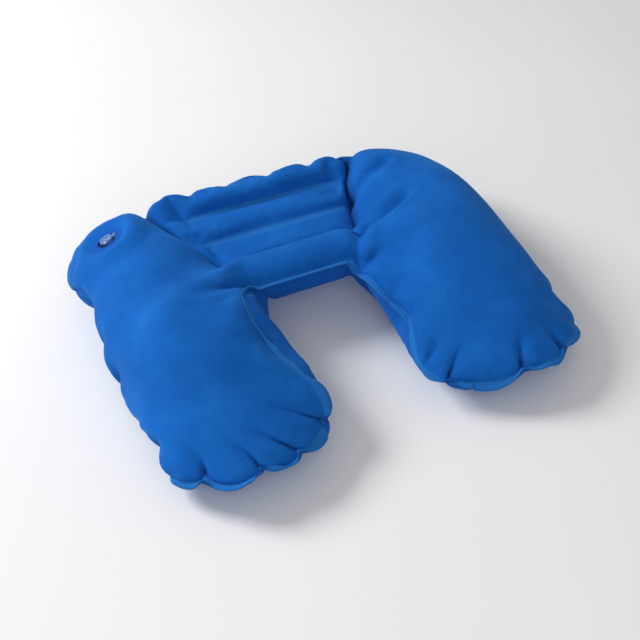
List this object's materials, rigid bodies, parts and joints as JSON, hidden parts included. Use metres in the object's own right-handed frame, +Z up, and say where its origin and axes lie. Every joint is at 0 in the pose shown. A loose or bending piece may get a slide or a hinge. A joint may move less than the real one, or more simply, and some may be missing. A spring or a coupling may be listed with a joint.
{
  "type": "camp pillow",
  "caption": "U-shaped flocked air pillow with two fat arms, a quilted neck section of air tubes and a push-in mouth valve with a tethered plug.",
  "frame": {"origin": "centre of the footprint at the lowest point of the arms' undersides, on the surface it lies on", "axes": "+X across the pillow from the valve arm to the plain arm; +Y from the open ends of the arms to the neck section; +Z up"},
  "size_m": [0.3542, 0.29, 0.0933],
  "materials": {
    "top_flock": "matte",
    "bottom_flock": "matte",
    "valve_flange_vinyl": "gloss",
    "valve_skirt_vinyl": "gloss",
    "valve_stem_vinyl": "gloss",
    "valve_plug_vinyl": "gloss",
    "plug_tether_vinyl": "gloss",
    "check_flap_vinyl": "gloss"
  },
  "bodies": {
    "pillow": {"top_panel": "top_flock", "bottom_panel": "bottom_flock", "valve_flange": "valve_flange_vinyl", "valve_skirt": "valve_skirt_vinyl"},
    "stem": {"valve_stem": "valve_stem_vinyl"},
    "plug": {"valve_plug": "valve_plug_vinyl", "plug_tether": "plug_tether_vinyl"},
    "flap": {"check_flap": "check_flap_vinyl"}
  },
  "joints": [
    {"name": "stem_rise", "type": "slide", "parent": "pillow", "child": "stem", "axis": [-0.3774, 0.2588, 0.8891], "range_m": [0, 0.012], "deforming": ["valve_skirt"]},
    {"name": "plug_swing", "type": "hinge", "parent": "stem", "child": "plug", "pos_m": [-0.1344, 0.09935, 0.07626], "axis": [0.1011, 0.9659, -0.2382], "range_deg": [0, 150]},
    {"name": "flap_open", "type": "hinge", "parent": "stem", "child": "flap", "pos_m": [-0.14119, 0.09555, 0.05795], "axis": [0.1011, 0.9659, -0.2382], "range_deg": [0, 60], "stiffness_Nm_per_rad": 0.00002, "springref_deg": -20.05}
  ]
}
